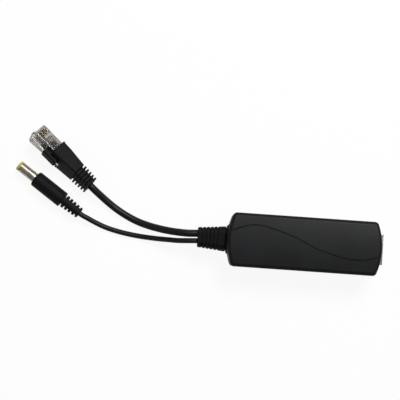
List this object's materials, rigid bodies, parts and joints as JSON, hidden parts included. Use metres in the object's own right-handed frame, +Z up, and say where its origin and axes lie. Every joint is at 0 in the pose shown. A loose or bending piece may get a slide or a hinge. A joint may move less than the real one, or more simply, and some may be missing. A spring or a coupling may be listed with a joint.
{
  "type": "poe splitter",
  "caption": "Inline power splitter: plastic case with a network socket at one end and short captive network and DC leads at the other.",
  "frame": {"origin": "under the middle of the case with its socket and cable boot, on the surface it lies on; the free cables and their plugs aren't counted", "axes": "+X towards the network socket, +Z up through the lid, the cables leave towards -X"},
  "size_m": [0.1958, 0.0678, 0.023],
  "materials": {
    "case_abs": "fine spark-eroded grain",
    "black_pvc": "matt moulded",
    "clear_polycarbonate": "clear moulded",
    "nickel_plate": "bright plated",
    "gold_plate": "plated",
    "yellow_insulator": "moulded",
    "board_laminate": "solder mask",
    "black_nylon": "moulded",
    "ferrite": "sintered",
    "winding_tape": "taped",
    "chip_epoxy": "moulded",
    "capacitor_sleeve": "sleeved can",
    "enamelled_copper": "enamelled",
    "wire_orange": "extruded",
    "wire_green": "extruded",
    "wire_blue": "extruded",
    "wire_brown": "extruded",
    "wire_red": "extruded",
    "wire_black": "extruded",
    "cable_jacket": "satin extruded"
  },
  "bodies": {
    "root": {"barrel_sleeve": "nickel_plate", "bridge_rectifier_1": "chip_epoxy", "bridge_rectifier_2": "chip_epoxy", "cable_boot": "black_pvc", "circuit_board": "board_laminate", "controller_chip": "chip_epoxy", "data_cable": "cable_jacket", "dc_lead_1": "wire_red", "dc_lead_2": "wire_black", "input_capacitor": "capacitor_sleeve", "jack_body": "black_nylon", "jack_contact_1": "gold_plate", "jack_contact_2": "gold_plate", "jack_contact_3": "gold_plate", "jack_contact_4": "gold_plate", "jack_contact_5": "gold_plate", "jack_contact_6": "gold_plate", "jack_contact_7": "gold_plate", "jack_contact_8": "gold_plate", "jack_shield": "nickel_plate", "line_transformer": "chip_epoxy", "lower_case": "case_abs", "optocoupler": "chip_epoxy", "output_capacitor": "capacitor_sleeve", "output_inductor": "enamelled_copper", "pair_lead_1": "wire_orange", "pair_lead_2": "wire_green", "pair_lead_3": "wire_blue", "pair_lead_4": "wire_brown", "pin_tube": "nickel_plate", "plug_body": "clear_polycarbonate", "plug_boot": "black_pvc", "plug_contact_1": "gold_plate", "plug_contact_2": "gold_plate", "plug_contact_3": "gold_plate", "plug_contact_4": "gold_plate", "plug_contact_5": "gold_plate", "plug_contact_6": "gold_plate", "plug_contact_7": "gold_plate", "plug_contact_8": "gold_plate", "plug_wire_1": "wire_orange", "plug_wire_2": "wire_orange", "plug_wire_3": "wire_green", "plug_wire_4": "wire_blue", "plug_wire_5": "wire_blue", "plug_wire_6": "wire_green", "plug_wire_7": "wire_brown", "plug_wire_8": "wire_brown", "power_cable": "cable_jacket", "power_plug_grip": "black_pvc", "rectifier_diode": "chip_epoxy", "switching_transistor": "chip_epoxy", "tip_insulator": "yellow_insulator", "transformer_core": "ferrite", "transformer_winding": "winding_tape", "upper_case": "case_abs"}
  },
  "joints": []
}
